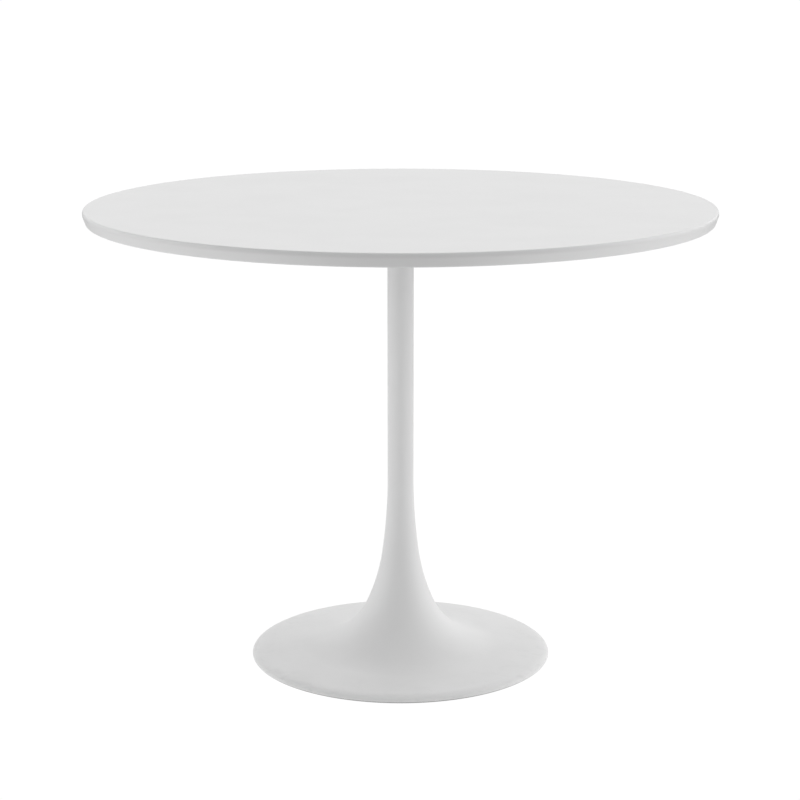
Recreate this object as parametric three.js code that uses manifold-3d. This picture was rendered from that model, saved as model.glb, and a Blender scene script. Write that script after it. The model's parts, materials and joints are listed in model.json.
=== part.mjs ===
// Round pedestal table: a lacquered round top on a slim steel column, whose foot flares
// out in one sweep to a low disc base.  A tie rod inside the column clamps the top plate,
// the column and the ballast casting together, and six glides under the casting level it.
//
// Millimetres, +Z up.  The origin is on the floor, under the centre of the column.

import * as THREE from "three";
import { mergeVertices } from "three/addons/utils/BufferGeometryUtils.js";
import Module from "manifold-3d";

const degrees = THREE.MathUtils.degToRad;

// ---------------------------------------------------------------- driving dimensions

const TABLE_HEIGHT = 745;
const CLEARANCE = 0.3; // between any two pieces that fit one inside the other
const PAST = 1; // how far a cutting shape runs on beyond the face that it opens

const TOP = {
  diameter: 1000,
  thickness: 21,
  upperRound: { inward: 3, height: 5 }, // above the widest line of the edge
  bevel: { turn: degrees(20), upperRadius: 10, lowerRadius: 4 }, // below it
};

const COLUMN = { diameter: 42, wall: 2 };

const BASE = {
  diameter: 490,
  wall: 2,
  neckLevel: 300, // where the flare is welded to the column
  upperFlare: { radius: 900, turn: degrees(8) }, // turn is measured from the vertical
  middleFlare: { radius: 320, turn: degrees(24) },
  discSlope: degrees(3),
  shoulder: { inward: 20, height: 8 },
  rimLand: 1, // upright band at the foot of the shoulder
  rimGap: 2, // between the rim and the floor
};

const PLATE = { diameter: 300, thickness: 5, boltCircle: 250, hole: 7 };
const HUB = { length: 25 };

const CASTING = {
  underside: 4.6,
  bossTurn: degrees(62), // the boss stops level where the flare has turned this far
  rodHole: 11,
  nutPocket: { diameter: 34, ceiling: 20 },
};

const SCREW = {
  count: 8,
  thread: 6,
  length: 16,
  head: 10.5,
  headHeight: 3.3,
  crown: 6, // flat at the middle of the domed head
  key: 4,
  keyDepth: 2,
};
const SCREW_WASHER = { outer: 12, inner: 6.6, thickness: 1.6 };
const INSERT = { outer: 9, inner: 6.6, length: 12 };

const ROD = { diameter: 10, top: 714, bottom: 5.5 };
const CLAMP_WASHER = { outer: 30, inner: 11, thickness: 2.5 };
const SPRING_WASHER = { outer: 18, inner: 11, thickness: 2.5, slit: 2 };
const NUT = { acrossFlats: 17, height: 8 };

const GLIDE = {
  count: 6,
  circle: 360,
  padDiameter: 28,
  padHeight: 4.3,
  padEdge: 1, // chamfer round the sole
  padFloor: 1.5, // nylon under the stud
  stud: 8,
  studTop: 10.7,
};

// Straight edges that stand for a full circle.
const FACETS = { top: 96, plate: 64, pedestal: 48, pad: 24, small: 16, hidden: 12 };

// ---------------------------------------------------------------- levels and radii

const topUnderside = TABLE_HEIGHT - TOP.thickness;
const plateUnderside = topUnderside - PLATE.thickness;
const columnRadius = COLUMN.diameter / 2;
const baseRadius = BASE.diameter / 2;
const rodHoleRadius = ROD.diameter / 2 + CLEARANCE;

// ---------------------------------------------------------------- finishes

const finish = (color, roughness, metalness) =>
  new THREE.MeshStandardMaterial({ color, roughness, metalness });

const whiteLacquer = finish(0xf3f3f1, 0.38, 0);
const whitePowderCoat = finish(0xf0f0ef, 0.45, 0);
const zincPlate = finish(0xb9bcc0, 0.35, 1);
const brass = finish(0xc9a85c, 0.35, 1);
const blackCastingPaint = finish(0x1d1e20, 0.7, 0);
const greyNylon = finish(0x8d8f90, 0.6, 0);

// ---------------------------------------------------------------- geometry helpers

const wasm = await Module();
wasm.setup();

// A closed (radius, height) outline, listed anticlockwise, turned about the Z axis.
function revolve(outline, facets) {
  const points = outline.map(([radius, height]) => new THREE.Vector2(radius, height));
  return new THREE.LatheGeometry(points, facets).rotateX(Math.PI / 2);
}

// A ring of rectangular section between two radii and two levels.
function ring(inner, outer, bottom, top, facets) {
  const outline = [
    [inner, bottom],
    [outer, bottom],
    [outer, top],
    [inner, top],
    [inner, bottom],
  ];
  return revolve(outline, facets);
}

// An upright prism or cylinder between two levels.
function pillar(radius, bottom, top, facets) {
  const geometry = new THREE.CylinderGeometry(radius, radius, top - bottom, facets);
  return geometry.rotateX(Math.PI / 2).translate(0, 0, (bottom + top) / 2);
}

function toSolid(geometry) {
  const bare = geometry.clone();
  bare.deleteAttribute("normal");
  bare.deleteAttribute("uv");
  const merged = mergeVertices(bare, 1e-3);
  return new wasm.Manifold(
    new wasm.Mesh({
      numProp: 3,
      vertProperties: merged.attributes.position.array,
      triVerts: new Uint32Array(merged.index.array),
    }),
  );
}

function toGeometry(solid) {
  const mesh = solid.getMesh();
  const geometry = new THREE.BufferGeometry();
  geometry.setAttribute("position", new THREE.BufferAttribute(mesh.vertProperties, 3));
  geometry.setIndex(new THREE.BufferAttribute(mesh.triVerts, 1));
  const faceted = geometry.toNonIndexed();
  faceted.computeVertexNormals();
  return faceted;
}

function cut(geometry, tools) {
  const cutSolid = tools.reduce((solid, tool) => solid.subtract(toSolid(tool)), toSolid(geometry));
  return toGeometry(cutSolid);
}

// The centres of evenly spaced places on a circle about the Z axis.
function placesOn(circleDiameter, count) {
  return Array.from({ length: count }, (_, index) => {
    const angle = (index / count) * 2 * Math.PI;
    const radius = circleDiameter / 2;
    return new THREE.Vector3(radius * Math.cos(angle), radius * Math.sin(angle), 0);
  });
}

const movedTo = (geometry, place) => geometry.clone().translate(place.x, place.y, 0);

function piece(name, geometry, material) {
  const mesh = new THREE.Mesh(geometry, material);
  mesh.name = name;
  return mesh;
}

// One numbered copy of a piece at each place.
function copies(name, geometry, material, places) {
  return places.map((place, index) => {
    const mesh = piece(`${name}_${index + 1}`, geometry, material);
    mesh.position.copy(place);
    return mesh;
  });
}

const group = (...members) => new THREE.Group().add(...members);

// ---------------------------------------------------------------- the flare of the base

// Points on a hollow circular sweep.  The angle is how far the line has turned from
// straight down; the circle's centre lies outside the metal.
function sweep(centre, radius, from, to, steps) {
  return Array.from({ length: steps + 1 }, (_, index) => {
    const angle = from + ((to - from) * index) / steps;
    return [centre[0] - radius * Math.cos(angle), centre[1] - radius * Math.sin(angle)];
  });
}

// Points on a quarter ellipse about a centre, from an angle off the vertical to a right
// angle.  A negative height bulges downwards.
function quarterRound(centre, inward, height, from, steps) {
  return Array.from({ length: steps + 1 }, (_, index) => {
    const angle = from + ((Math.PI / 2 - from) * index) / steps;
    return [centre[0] + inward * Math.sin(angle), centre[1] + height * Math.cos(angle)];
  });
}

// Three circular sweeps, each tangent to the last, run from the neck down to the gently
// sloping disc.  The radius of the third is whatever makes it meet the disc at its slope.
const flare = (() => {
  const { upperFlare, middleFlare, discSlope, shoulder } = BASE;
  const lastTurn = Math.PI / 2 - discSlope;
  const shoulderCentre = [baseRadius - shoulder.inward, BASE.rimGap + BASE.rimLand];
  const shoulderStart = Math.atan((shoulder.inward / shoulder.height) * Math.tan(discSlope));
  const [discEnd] = quarterRound(shoulderCentre, shoulder.inward, shoulder.height, shoulderStart, 1);

  const upperCentre = [columnRadius + upperFlare.radius, BASE.neckLevel];
  const [, upperEnd] = sweep(upperCentre, upperFlare.radius, 0, upperFlare.turn, 1);
  const middleCentre = [
    upperEnd[0] + middleFlare.radius * Math.cos(upperFlare.turn),
    upperEnd[1] + middleFlare.radius * Math.sin(upperFlare.turn),
  ];
  const [, middleEnd] = sweep(middleCentre, middleFlare.radius, 0, middleFlare.turn, 1);

  const outwardPerRadius = Math.cos(middleFlare.turn) - Math.cos(lastTurn);
  const dropPerRadius = Math.sin(lastTurn) - Math.sin(middleFlare.turn);
  const dropToDisc = middleEnd[1] - discEnd[1] - (discEnd[0] - middleEnd[0]) * Math.tan(discSlope);
  const footRadius = dropToDisc / (dropPerRadius - outwardPerRadius * Math.tan(discSlope));
  const footCentre = [
    middleEnd[0] + footRadius * Math.cos(middleFlare.turn),
    middleEnd[1] + footRadius * Math.sin(middleFlare.turn),
  ];
  return { upperCentre, middleCentre, footCentre, footRadius, lastTurn, shoulderCentre };
})();

// The sweep above the disc, from a given turn, on a surface a depth inside the outer one.
function footSweep(depth, from, steps) {
  return sweep(flare.footCentre, flare.footRadius + depth, from, flare.lastTurn, steps);
}

// The shoulder of the disc on a surface a depth inside the outer one.
function shoulderSweep(depth, steps) {
  const inward = BASE.shoulder.inward - depth;
  const height = BASE.shoulder.height - depth;
  const from = Math.atan((inward / height) * Math.tan(BASE.discSlope));
  return quarterRound(flare.shoulderCentre, inward, height, from, steps);
}

// The whole line of the shell from neck to rim, a depth inside the outer surface.
function shellLine(depth) {
  const { upperFlare, middleFlare } = BASE;
  const upper = sweep(flare.upperCentre, upperFlare.radius + depth, 0, upperFlare.turn, 3);
  const middle = sweep(
    flare.middleCentre,
    middleFlare.radius + depth,
    upperFlare.turn,
    middleFlare.turn,
    3,
  );
  return [
    ...upper,
    ...middle.slice(1),
    ...footSweep(depth, middleFlare.turn, 8).slice(1),
    ...shoulderSweep(depth, 4),
    [baseRadius - depth, BASE.rimGap],
  ];
}

// ---------------------------------------------------------------- top and its fixings

const screwPlaces = placesOn(PLATE.boltCircle, SCREW.count);

// Points on a round outer corner, from one turn below level to another.
function corner(centre, radius, from, to, steps) {
  return Array.from({ length: steps + 1 }, (_, index) => {
    const angle = from + ((to - from) * index) / steps;
    return [centre[0] + radius * Math.cos(angle), centre[1] - radius * Math.sin(angle)];
  });
}

// The edge of the top below its widest line: it turns inwards, runs straight down the
// bevel and turns under.  Both turns are tangent to the bevel.
function bevelledEdge(widest) {
  const { turn, upperRadius, lowerRadius } = TOP.bevel;
  const upperCentre = [TOP.diameter / 2 - upperRadius, widest];
  const upper = corner(upperCentre, upperRadius, 0, turn, 2);
  const [bevelRadius, bevelTop] = upper.at(-1);
  const lowerLevel = topUnderside + lowerRadius;
  const run = (bevelTop - lowerLevel + lowerRadius * Math.sin(turn)) * Math.tan(turn);
  const lowerCentre = [bevelRadius - run - lowerRadius * Math.cos(turn), lowerLevel];
  return [...upper, ...corner(lowerCentre, lowerRadius, turn, Math.PI / 2, 3)];
}

// A disc whose edge is widest a little below the top face, with a blind hole for each
// insert in its underside.
function tabletop() {
  const { upperRound } = TOP;
  const widest = TABLE_HEIGHT - upperRound.height;
  const upperCentre = [TOP.diameter / 2 - upperRound.inward, widest];
  const upper = quarterRound(upperCentre, upperRound.inward, upperRound.height, 0, 4).reverse();
  const lower = bevelledEdge(widest).reverse();
  const outline = [[0, topUnderside], ...lower, ...upper.slice(1), [0, TABLE_HEIGHT]];
  const disc = revolve(outline, FACETS.top);

  const holeRadius = INSERT.outer / 2 + CLEARANCE;
  const holeEnd = topUnderside + INSERT.length + CLEARANCE;
  const hole = pillar(holeRadius, topUnderside - PAST, holeEnd, FACETS.small);
  return cut(disc, screwPlaces.map((place) => movedTo(hole, place)));
}

function insertNut() {
  const end = topUnderside + INSERT.length;
  return ring(INSERT.inner / 2, INSERT.outer / 2, topUnderside, end, FACETS.hidden);
}

function supportPlate() {
  const plate = pillar(PLATE.diameter / 2, plateUnderside, topUnderside, FACETS.plate);
  const [bottom, top] = [plateUnderside - PAST, topUnderside + PAST];
  const hole = pillar(PLATE.hole / 2, bottom, top, FACETS.hidden);
  return cut(plate, screwPlaces.map((place) => movedTo(hole, place)));
}

// The spigot under the plate that enters the column and takes the tie rod's thread.
function plateHub() {
  const outer = columnRadius - COLUMN.wall - CLEARANCE;
  const bottom = plateUnderside - HUB.length;
  return ring(rodHoleRadius, outer, bottom, plateUnderside, FACETS.pad);
}

function screwWasher() {
  const { outer, inner, thickness } = SCREW_WASHER;
  const bottom = plateUnderside - thickness;
  return ring(inner / 2, outer / 2, bottom, plateUnderside, FACETS.small);
}

// Button-head screw: a domed head with a hexagonal socket below, its shank upwards.
function plateScrew() {
  const seat = plateUnderside - SCREW_WASHER.thickness;
  const crown = seat - SCREW.headHeight;
  const shank = SCREW.thread / 2;
  const dome = quarterRound(
    [SCREW.crown / 2, seat],
    (SCREW.head - SCREW.crown) / 2,
    -SCREW.headHeight,
    0,
    3,
  );
  const outline = [
    [0, crown],
    ...dome,
    [shank, seat],
    [shank, seat + SCREW.length],
    [0, seat + SCREW.length],
  ];
  const socket = pillar(SCREW.key / Math.sqrt(3), crown - PAST, crown + SCREW.keyDepth, 6);
  return cut(revolve(outline, FACETS.hidden), [socket]);
}

// ---------------------------------------------------------------- pedestal

function columnTube() {
  const bore = columnRadius - COLUMN.wall;
  return ring(bore, columnRadius, BASE.neckLevel, plateUnderside, FACETS.pedestal);
}

// The spun steel shell: neck, flare, disc, shoulder and rim, open underneath.
function flaredBase() {
  const inner = shellLine(BASE.wall);
  const outer = shellLine(0).reverse();
  return revolve([...inner, ...outer, inner[0]], FACETS.pedestal);
}

// ---------------------------------------------------------------- ballast and tie rod

const glidePlaces = placesOn(GLIDE.circle, GLIDE.count);

// The iron casting that fills the disc: its upper side follows the shell, and its centre
// rises to a level boss with a pocket underneath for the clamping nut.
function ballastCasting() {
  const depth = BASE.wall + CLEARANCE;
  const crown = footSweep(depth, CASTING.bossTurn, 5);
  const [discEnd] = shoulderSweep(depth, 1);
  const bossLevel = crown[0][1];
  const { diameter: pocketDiameter, ceiling } = CASTING.nutPocket;
  const outline = [
    [CASTING.rodHole / 2, ceiling],
    [pocketDiameter / 2, ceiling],
    [pocketDiameter / 2, CASTING.underside],
    [discEnd[0], CASTING.underside],
    discEnd,
    ...crown.reverse(),
    [CASTING.rodHole / 2, bossLevel],
    [CASTING.rodHole / 2, ceiling],
  ];
  const studHole = pillar(GLIDE.stud / 2 + CLEARANCE, 0, bossLevel, FACETS.small);
  return cut(
    revolve(outline, FACETS.pedestal),
    glidePlaces.map((place) => movedTo(studHole, place)),
  );
}

function clampWasher(top) {
  const { outer, inner, thickness } = CLAMP_WASHER;
  return ring(inner / 2, outer / 2, top - thickness, top, FACETS.pad);
}

// A flat ring with a slit across one side.
function springWasher(top) {
  const { outer, inner, thickness, slit } = SPRING_WASHER;
  const outerGap = Math.asin(slit / outer);
  const innerGap = Math.asin(slit / inner);
  const outline = new THREE.Shape();
  outline.absarc(0, 0, outer / 2, outerGap, 2 * Math.PI - outerGap, false);
  outline.absarc(0, 0, inner / 2, 2 * Math.PI - innerGap, innerGap, true);
  outline.closePath();
  const settings = { depth: thickness, bevelEnabled: false, curveSegments: FACETS.small };
  return new THREE.ExtrudeGeometry(outline, settings).translate(0, 0, top - thickness);
}

function clampNut(top) {
  const body = pillar(NUT.acrossFlats / Math.sqrt(3), top - NUT.height, top, 6);
  const bore = pillar(rodHoleRadius, top - NUT.height - PAST, top + PAST, FACETS.hidden);
  return cut(body, [bore]);
}

// ---------------------------------------------------------------- levelling glides

const studBottom = GLIDE.padFloor + CLEARANCE;

// A nylon disc, chamfered round its sole, moulded with a blind hole for the stud's foot.
function glidePad() {
  const radius = GLIDE.padDiameter / 2;
  const socket = GLIDE.stud / 2 + CLEARANCE;
  const outline = [
    [0, 0],
    [radius - GLIDE.padEdge, 0],
    [radius, GLIDE.padEdge],
    [radius, GLIDE.padHeight],
    [socket, GLIDE.padHeight],
    [socket, GLIDE.padFloor],
    [0, GLIDE.padFloor],
  ];
  return revolve(outline, FACETS.pad);
}

const glideStud = () => pillar(GLIDE.stud / 2, studBottom, GLIDE.studTop, FACETS.hidden);

// ---------------------------------------------------------------- assembly

const topGroup = group(
  piece("tabletop", tabletop(), whiteLacquer),
  ...copies("insert_nut", insertNut(), brass, screwPlaces),
);

const plateGroup = group(
  piece("support_plate", supportPlate(), whitePowderCoat),
  piece("plate_hub", plateHub(), zincPlate),
  ...copies("plate_washer", screwWasher(), zincPlate, screwPlaces),
  ...copies("plate_screw", plateScrew(), zincPlate, screwPlaces),
);

const pedestalGroup = group(
  piece("column_tube", columnTube(), whitePowderCoat),
  piece("flared_base", flaredBase(), whitePowderCoat),
);

const springWasherTop = CASTING.nutPocket.ceiling - CLAMP_WASHER.thickness;
const nutTop = springWasherTop - SPRING_WASHER.thickness;
const clampGroup = group(
  piece("ballast_casting", ballastCasting(), blackCastingPaint),
  piece("tie_rod", pillar(ROD.diameter / 2, ROD.bottom, ROD.top, FACETS.hidden), zincPlate),
  piece("clamp_washer", clampWasher(CASTING.nutPocket.ceiling), zincPlate),
  piece("spring_washer", springWasher(springWasherTop), zincPlate),
  piece("clamp_nut", clampNut(nutTop), zincPlate),
);

const glideGroup = group(
  ...copies("glide_pad", glidePad(), greyNylon, glidePlaces),
  ...copies("glide_stud", glideStud(), zincPlate, glidePlaces),
);

export default group(topGroup, plateGroup, pedestalGroup, clampGroup, glideGroup);
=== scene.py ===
"""A white round pedestal table: lacquered top, slim steel column and a foot that flares to a low disc.

Every piece is a surface worked out as arrays: an outline turned about an axis, a section carried
along an arc, or a thread that climbs as it turns.  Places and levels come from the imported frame.
Metres, +Z up.
"""

import json

import bmesh
import bpy
import numpy as np
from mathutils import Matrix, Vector

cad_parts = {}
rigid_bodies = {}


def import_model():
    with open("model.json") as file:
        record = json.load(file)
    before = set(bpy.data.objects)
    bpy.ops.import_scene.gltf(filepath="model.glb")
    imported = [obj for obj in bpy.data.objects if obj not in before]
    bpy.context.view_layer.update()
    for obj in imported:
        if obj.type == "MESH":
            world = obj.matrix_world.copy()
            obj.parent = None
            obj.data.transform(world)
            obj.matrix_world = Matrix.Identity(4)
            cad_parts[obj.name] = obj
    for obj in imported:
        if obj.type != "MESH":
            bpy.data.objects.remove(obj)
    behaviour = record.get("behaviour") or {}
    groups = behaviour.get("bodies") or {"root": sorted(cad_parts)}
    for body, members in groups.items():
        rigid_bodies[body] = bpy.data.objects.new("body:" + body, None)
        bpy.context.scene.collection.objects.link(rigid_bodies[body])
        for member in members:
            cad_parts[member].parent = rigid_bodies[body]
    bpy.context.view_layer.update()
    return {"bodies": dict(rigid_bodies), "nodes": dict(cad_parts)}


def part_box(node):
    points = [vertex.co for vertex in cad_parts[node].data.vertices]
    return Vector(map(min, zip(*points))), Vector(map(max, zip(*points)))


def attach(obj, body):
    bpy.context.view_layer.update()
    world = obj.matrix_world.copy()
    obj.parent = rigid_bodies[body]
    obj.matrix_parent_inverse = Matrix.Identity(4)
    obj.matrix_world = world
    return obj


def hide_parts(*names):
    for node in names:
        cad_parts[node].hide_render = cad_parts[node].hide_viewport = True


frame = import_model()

MM = 0.001
TURN = 2 * np.pi

# ------------------------------------------------------------------ sizes


def spans(node):
    """Reach from the column's axis, lowest and highest level of a CAD node that is centred on it."""
    low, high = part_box(node)
    return high.x, low.z, high.z


TOP_RADIUS, TOP_UNDERSIDE, TOP_FACE = spans("tabletop")
PLATE_RADIUS, PLATE_UNDERSIDE, _ = spans("support_plate")
HUB_RADIUS, HUB_BOTTOM, _ = spans("plate_hub")
COLUMN_RADIUS, NECK_LEVEL, COLUMN_TOP = spans("column_tube")
BASE_RADIUS, RIM_LEVEL, _ = spans("flared_base")
_, CASTING_UNDERSIDE, BOSS_LEVEL = spans("ballast_casting")
ROD_RADIUS, ROD_BOTTOM, ROD_TOP = spans("tie_rod")

# The edge of the top: rounded over (inward, high) above its widest line.  Below that line it turns
# inwards to a straight bevel, and turns under at the foot of it (both radii).
UPPER_EDGE = (3 * MM, 5 * MM)
BEVEL_TURN = np.radians(20)
BEVEL_ROUNDS = (10 * MM, 4 * MM)

# The flare: two arcs (radius, how far each has turned from the vertical), a third that meets
# the sloping disc, then the shoulder (inward, high) and the upright rim.
UPPER_FLARE = (900 * MM, np.radians(8))
MIDDLE_FLARE = (320 * MM, np.radians(24))
DISC_SLOPE = np.radians(3)
SHOULDER = (20 * MM, 8 * MM)
RIM_LAND = 1 * MM
WALL = 2 * MM
FIT = 0.3 * MM
THREAD_FIT = 0.1 * MM

# The casting: a level boss where the flare has turned this far, and the nut's pocket (radius, ceiling).
BOSS_TURN = np.radians(62)
ROD_HOLE = 5.5 * MM
NUT_POCKET = (17 * MM, 20 * MM)
STUD_HOLE = 4.3 * MM

SCREW_HOLE = 3.5 * MM
SCREW_REACH = 15 * MM  # half the width of the ring of the underside that holds the inserts' holes
PLATE_REACH = 12 * MM  # and of the plate that holds the screws' holes
GLIDE_REACH = 15 * MM  # and of the casting that holds the studs' holes
SCREW_THREAD = (2.97 * MM, 2.45 * MM, 1 * MM)  # crest, root, pitch
SCREW_HEAD = 5.25 * MM
SCREW_CROWN = 3 * MM  # radius of the flat in the middle of the domed head
SCREW_KEY = (2 * MM, 2 * MM)  # half the distance across the socket's flats, depth
INSERT_THREAD = (4.5 * MM, 3.9 * MM, 2.4 * MM)
INSERT_BORE = 3.1 * MM
INSERT_KEY = (3.2 * MM, 2.2 * MM)
ROD_THREAD = (4.97 * MM, 4.15 * MM, 1.5 * MM)
ROD_THREAD_LENGTH = 30 * MM
STUD_THREAD = (3.98 * MM, 3.35 * MM, 1.25 * MM)
NUT_FLAT = 8.5 * MM
NUT_CONE = 0.97  # where the cone that cuts back the nut's corners starts, as a share of NUT_FLAT
SLIT = 2 * MM
WASHER_BORE, CLAMP_BORE = 3.3 * MM, 5.5 * MM
PAD_HOLLOW = (8 * MM, 8.4 * MM, 0.25 * MM)  # inner and outer end of its slope, depth
PAD_SOCKET_FLOOR = 1.6 * MM

SEGMENTS = 240  # round the big pieces; it divides by the number of screws and of glides
SMALL_SEGMENTS = 48  # round the fixings; it divides by six, for hexagons
SAME_POINT = 2e-6  # points of two grids that are closer than this are one
NO_LENGTH = 1e-7  # edges shorter than this are dropped


def numbered(stem):
    """The CAD nodes stem_1, stem_2 and so on, in order."""
    names = [n for n in frame["nodes"] if n.rsplit("_", 1)[0] == stem]
    return sorted(names, key=lambda n: int(n.rsplit("_", 1)[1]))


def centre_of(node):
    """The middle of a CAD node, on the floor plane."""
    low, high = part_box(node)
    return (low + high) / 2


SCREWS = numbered("plate_screw")
WASHERS = numbered("plate_washer")
INSERTS = numbered("insert_nut")
GLIDE_PADS = numbered("glide_pad")
GLIDE_STUDS = numbered("glide_stud")
SCREW_CIRCLE = centre_of(SCREWS[0]).xy.length
GLIDE_CIRCLE = centre_of(GLIDE_PADS[0]).xy.length

# ------------------------------------------------------------------ outlines (radius, height)


def arc(centre, radius, start, stop, steps):
    """Points at a radius from a centre, left of and below it, as the line turns from straight down."""
    angle = np.linspace(start, stop, steps + 1)
    return np.stack([centre[0] - radius * np.cos(angle), centre[1] - radius * np.sin(angle)], 1)


def quarter(centre, inward, height, start, steps):
    """Points on a quarter ellipse about a centre, from an angle off the vertical to level with it."""
    angle = np.linspace(start, np.pi / 2, steps + 1)
    return np.stack([centre[0] + inward * np.sin(angle), centre[1] + height * np.cos(angle)], 1)


def outer_arc(centre, radius, start, stop, steps):
    """Points at a radius from a centre, right of and below it, as the line turns from straight down."""
    angle = np.linspace(start, stop, steps + 1)
    return np.stack([centre[0] + radius * np.cos(angle), centre[1] - radius * np.sin(angle)], 1)


def level(start, stop, height, steps):
    """A straight level line from one radius to another."""
    return np.stack([np.linspace(start, stop, steps + 1), np.full(steps + 1, height)], 1)


def eased(line, near=1.5 * MM):
    """The same line with a point near both ends of each long step, so that what is told of the
    points, such as how sharp an edge is, doesn't spread along the step."""
    line = np.asarray(line, float)
    step = np.diff(line, axis=0)
    length = np.linalg.norm(step, axis=1, keepdims=True)
    inset = step * near / length
    points = np.stack([line[:-1], line[:-1] + inset, line[1:] - inset], 1)
    kept = np.repeat(length > 3 * near, 3, axis=1)
    kept[:, 0] = True
    return np.concatenate([points[kept], line[-1:]])


def filleted(corners, steps=5):
    """An outline through (radius, height, fillet) corners, each rounded by an arc tangent to both sides."""
    corners = np.asarray(corners, float)
    line = [corners[0, :2]]
    for before, corner, after in zip(corners[:-2], corners[1:-1], corners[2:]):
        back, on = before[:2] - corner[:2], after[:2] - corner[:2]
        back, on = back / np.linalg.norm(back), on / np.linalg.norm(on)
        half = np.arccos(np.clip(back @ on, -1, 1)) / 2
        if corner[2] == 0 or half > 1.56:
            line.append(corner[:2])
            continue
        middle = corner[:2] + (back + on) / np.linalg.norm(back + on) * corner[2] / np.sin(half)
        first = corner[:2] + back * corner[2] / np.tan(half) - middle
        last = corner[:2] + on * corner[2] / np.tan(half) - middle
        begin = np.arctan2(first[1], first[0])
        sweep = np.arctan2(first[0] * last[1] - first[1] * last[0], first @ last)
        angle = begin + sweep * np.linspace(0, 1, steps + 1)
        line.extend(middle + corner[2] * np.stack([np.cos(angle), np.sin(angle)], 1))
    line.append(corners[-1, :2])
    return eased(line)


def section(inner, outer, low, high, round_):
    """A rectangle between two radii and two levels, its corners rounded, as a closed line."""
    middle = (low + high) / 2
    return filleted([
        (inner, middle, 0),
        (inner, low, round_),
        (outer, low, round_),
        (outer, high, round_),
        (inner, high, round_),
        (inner, middle, 0),
    ])


class Flare:
    """Centres and radii of the flare's arcs; each is tangent to the last, and the third to the disc."""

    shoulder_centre = np.array([BASE_RADIUS - SHOULDER[0], RIM_LEVEL + RIM_LAND])
    last_turn = np.pi / 2 - DISC_SLOPE
    upper_centre = np.array([COLUMN_RADIUS + UPPER_FLARE[0], NECK_LEVEL])
    upper_end = arc(upper_centre, UPPER_FLARE[0], 0, UPPER_FLARE[1], 1)[-1]
    middle_centre = upper_end + MIDDLE_FLARE[0] * np.array([np.cos(UPPER_FLARE[1]), np.sin(UPPER_FLARE[1])])
    middle_end = arc(middle_centre, MIDDLE_FLARE[0], UPPER_FLARE[1], MIDDLE_FLARE[1], 1)[-1]
    shoulder_start = np.arctan(SHOULDER[0] / SHOULDER[1] * np.tan(DISC_SLOPE))
    disc_end = quarter(shoulder_centre, *SHOULDER, shoulder_start, 1)[0]
    outward = np.cos(MIDDLE_FLARE[1]) - np.cos(last_turn)
    down = np.sin(last_turn) - np.sin(MIDDLE_FLARE[1])
    drop = middle_end[1] - disc_end[1] - (disc_end[0] - middle_end[0]) * np.tan(DISC_SLOPE)
    foot_radius = drop / (down - outward * np.tan(DISC_SLOPE))
    foot_centre = middle_end + foot_radius * np.array([np.cos(MIDDLE_FLARE[1]), np.sin(MIDDLE_FLARE[1])])


def foot_line(depth, start, steps):
    """The last arc of the flare, on a surface a depth inside the outer one."""
    return arc(Flare.foot_centre, Flare.foot_radius + depth, start, Flare.last_turn, steps)


def shoulder_line(depth, steps):
    """The rounded shoulder of the disc, on a surface a depth inside the outer one."""
    inward, height = SHOULDER[0] - depth, SHOULDER[1] - depth
    start = np.arctan(inward / height * np.tan(DISC_SLOPE))
    return quarter(Flare.shoulder_centre, inward, height, start, steps)


def shell_line(depth):
    """Neck, flare, disc and shoulder in one smooth line, on a surface a depth inside the outer one."""
    neck = arc(Flare.upper_centre, UPPER_FLARE[0] + depth, 0, UPPER_FLARE[1], 16)
    middle = arc(Flare.middle_centre, MIDDLE_FLARE[0] + depth, UPPER_FLARE[1], MIDDLE_FLARE[1], 14)
    foot = foot_line(depth, MIDDLE_FLARE[1], 34)
    shoulder = shoulder_line(depth, 14)
    disc = foot[-1] + (shoulder[0] - foot[-1]) * np.linspace(0, 1, 9)[:, None]
    return np.concatenate([neck, middle[1:], foot[1:], disc[1:], shoulder[1:]])


# ------------------------------------------------------------------ surfaces as grids of points


def turned(outline, segments=SEGMENTS):
    """Point (i, j) is outline point i at angle 2 pi j / segments about the Z axis."""
    outline = np.asarray(outline, float)
    angle = np.linspace(0, TURN, segments + 1)
    radius, height = outline[:, :1], outline[:, 1:]
    return np.stack(np.broadcast_arrays(radius * np.cos(angle), radius * np.sin(angle), height), -1)


def columns(radius, height):
    """Point (i, j) lies at radius[i, j] and height[i] at angle 2 pi j / n: a round form that may ripple."""
    radius = np.asarray(radius, float)
    angle = np.linspace(0, TURN, radius.shape[1])
    height = np.asarray(height, float)[:, None]
    return np.stack(np.broadcast_arrays(radius * np.cos(angle), radius * np.sin(angle), height), -1)


def moved(grids, place):
    """The same grids about an upright axis at another place."""
    return [grid + np.array([place.x, place.y, 0.0]) for grid in grids]


def turned_to(points, angle):
    """Points turned about the Z axis, one whole copy for each angle, along a new first axis."""
    cosine, sine = np.cos(angle)[:, None, None], np.sin(angle)[:, None, None]
    x, y, z = points[..., 0], points[..., 1], points[..., 2]
    height = np.broadcast_to(z, (len(angle), *z.shape))
    return np.stack([x * cosine - y * sine, x * sine + y * cosine, height], -1)


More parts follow.
